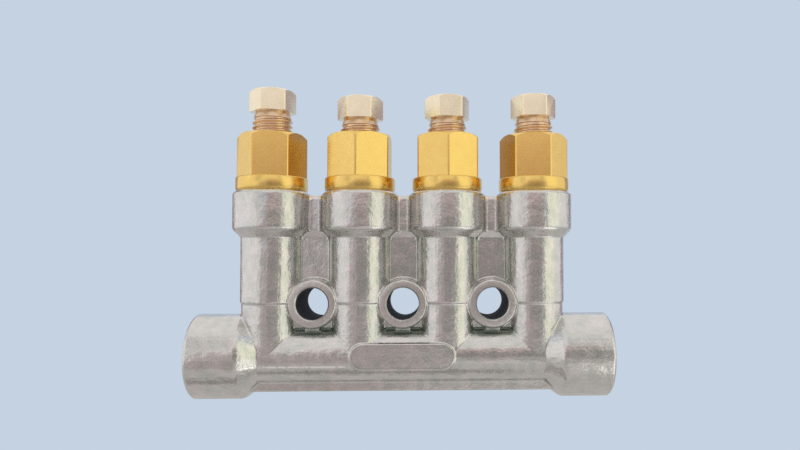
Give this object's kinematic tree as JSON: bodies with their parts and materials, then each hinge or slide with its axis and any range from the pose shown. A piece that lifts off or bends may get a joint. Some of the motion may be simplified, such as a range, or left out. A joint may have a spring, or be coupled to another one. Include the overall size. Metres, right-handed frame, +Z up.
{
  "type": "single-line lubrication distributor",
  "caption": "Die-cast lubrication manifold with upright dosing columns, hexagon outlet fittings, hollow compression screws, through mounting holes and a tapped main line.",
  "frame": {"origin": "centre of the middle mounting hole on the wall face", "axes": "+X along the main line, +Y into the wall, +Z up along the outlets"},
  "size_m": [0.0838, 0.0175, 0.0628],
  "materials": {
    "die_casting": "satin as-cast",
    "gold_fitting": "turned, gold-passivated",
    "pale_brass": "fine turned, pale",
    "ferrule_brass": "turned",
    "bright_steel": "drawn",
    "piston_steel": "ground",
    "spring_steel": "drawn wire",
    "black_rubber": "matte",
    "brown_rubber": "matte"
  },
  "bodies": {
    "manifold": {"manifold_body": "die_casting", "outlet_fitting_1": "gold_fitting", "outlet_fitting_2": "gold_fitting", "outlet_fitting_3": "gold_fitting", "outlet_fitting_4": "gold_fitting", "seal_ring_1": "black_rubber", "seal_ring_2": "black_rubber", "seal_ring_3": "black_rubber", "seal_ring_4": "black_rubber", "core_tube_1": "bright_steel", "core_tube_2": "bright_steel", "core_tube_3": "bright_steel", "core_tube_4": "bright_steel", "return_spring_1": "spring_steel", "return_spring_2": "spring_steel", "return_spring_3": "spring_steel", "return_spring_4": "spring_steel"},
    "piston_1": {"metering_piston_1": "piston_steel"},
    "valve_1": {"umbrella_valve_1": "brown_rubber"},
    "ferrule_1": {"ferrule_1": "ferrule_brass"},
    "screw_1": {"compression_screw_1": "pale_brass"},
    "piston_2": {"metering_piston_2": "piston_steel"},
    "valve_2": {"umbrella_valve_2": "brown_rubber"},
    "ferrule_2": {"ferrule_2": "ferrule_brass"},
    "screw_2": {"compression_screw_2": "pale_brass"},
    "piston_3": {"metering_piston_3": "piston_steel"},
    "valve_3": {"umbrella_valve_3": "brown_rubber"},
    "ferrule_3": {"ferrule_3": "ferrule_brass"},
    "screw_3": {"compression_screw_3": "pale_brass"},
    "piston_4": {"metering_piston_4": "piston_steel"},
    "valve_4": {"umbrella_valve_4": "brown_rubber"},
    "ferrule_4": {"ferrule_4": "ferrule_brass"},
    "screw_4": {"compression_screw_4": "pale_brass"}
  },
  "joints": [
    {"name": "screw_lift_1", "type": "slide", "parent": "manifold", "child": "ferrule_1", "axis": [0, 0, 1], "range_m": [-0.0023, 0.0023]},
    {"name": "screw_turn_1", "type": "hinge", "parent": "ferrule_1", "child": "screw_1", "pos_m": [-0.027, -0.009, 0.03155], "axis": [0, 0, 1], "range_deg": [-831, 831]},
    {"name": "screw_lift_2", "type": "slide", "parent": "manifold", "child": "ferrule_2", "axis": [0, 0, 1], "range_m": [-0.0009, 0.0037]},
    {"name": "screw_turn_2", "type": "hinge", "parent": "ferrule_2", "child": "screw_2", "pos_m": [-0.009, -0.009, 0.03015], "axis": [0, 0, 1], "range_deg": [-327, 1335]},
    {"name": "screw_lift_3", "type": "slide", "parent": "manifold", "child": "ferrule_3", "axis": [0, 0, 1], "range_m": [-0.0012, 0.0034]},
    {"name": "screw_turn_3", "type": "hinge", "parent": "ferrule_3", "child": "screw_3", "pos_m": [0.009, -0.009, 0.03045], "axis": [0, 0, 1], "range_deg": [-435, 1227]},
    {"name": "screw_lift_4", "type": "slide", "parent": "manifold", "child": "ferrule_4", "axis": [0, 0, 1], "range_m": [-0.0015, 0.0031]},
    {"name": "screw_turn_4", "type": "hinge", "parent": "ferrule_4", "child": "screw_4", "pos_m": [0.027, -0.009, 0.03075], "axis": [0, 0, 1], "range_deg": [-543, 1119]},
    {"name": "piston_slide_1", "type": "slide", "parent": "manifold", "child": "piston_1", "axis": [0, 0, 1], "range_m": [0, 0.004], "stiffness_N_per_m": 600, "springref_m": -0.005, "deforming": ["return_spring_1"]},
    {"name": "valve_slide_1", "type": "slide", "parent": "manifold", "child": "valve_1", "axis": [0, 0, 1], "range_m": [0, 0.001]},
    {"name": "piston_slide_2", "type": "slide", "parent": "manifold", "child": "piston_2", "axis": [0, 0, 1], "range_m": [0, 0.004], "stiffness_N_per_m": 600, "springref_m": -0.005, "deforming": ["return_spring_2"]},
    {"name": "valve_slide_2", "type": "slide", "parent": "manifold", "child": "valve_2", "axis": [0, 0, 1], "range_m": [0, 0.001]},
    {"name": "piston_slide_3", "type": "slide", "parent": "manifold", "child": "piston_3", "axis": [0, 0, 1], "range_m": [0, 0.004], "stiffness_N_per_m": 600, "springref_m": -0.005, "deforming": ["return_spring_3"]},
    {"name": "valve_slide_3", "type": "slide", "parent": "manifold", "child": "valve_3", "axis": [0, 0, 1], "range_m": [0, 0.001]},
    {"name": "piston_slide_4", "type": "slide", "parent": "manifold", "child": "piston_4", "axis": [0, 0, 1], "range_m": [0, 0.004], "stiffness_N_per_m": 600, "springref_m": -0.005, "deforming": ["return_spring_4"]},
    {"name": "valve_slide_4", "type": "slide", "parent": "manifold", "child": "valve_4", "axis": [0, 0, 1], "range_m": [0, 0.001]}
  ],
  "couplings": [
    {"joint": "screw_turn_1", "follows": "screw_lift_1", "rad_per_m": 6283.2},
    {"joint": "screw_turn_2", "follows": "screw_lift_2", "rad_per_m": 6283.2},
    {"joint": "screw_turn_3", "follows": "screw_lift_3", "rad_per_m": 6283.2},
    {"joint": "screw_turn_4", "follows": "screw_lift_4", "rad_per_m": 6283.2}
  ]
}
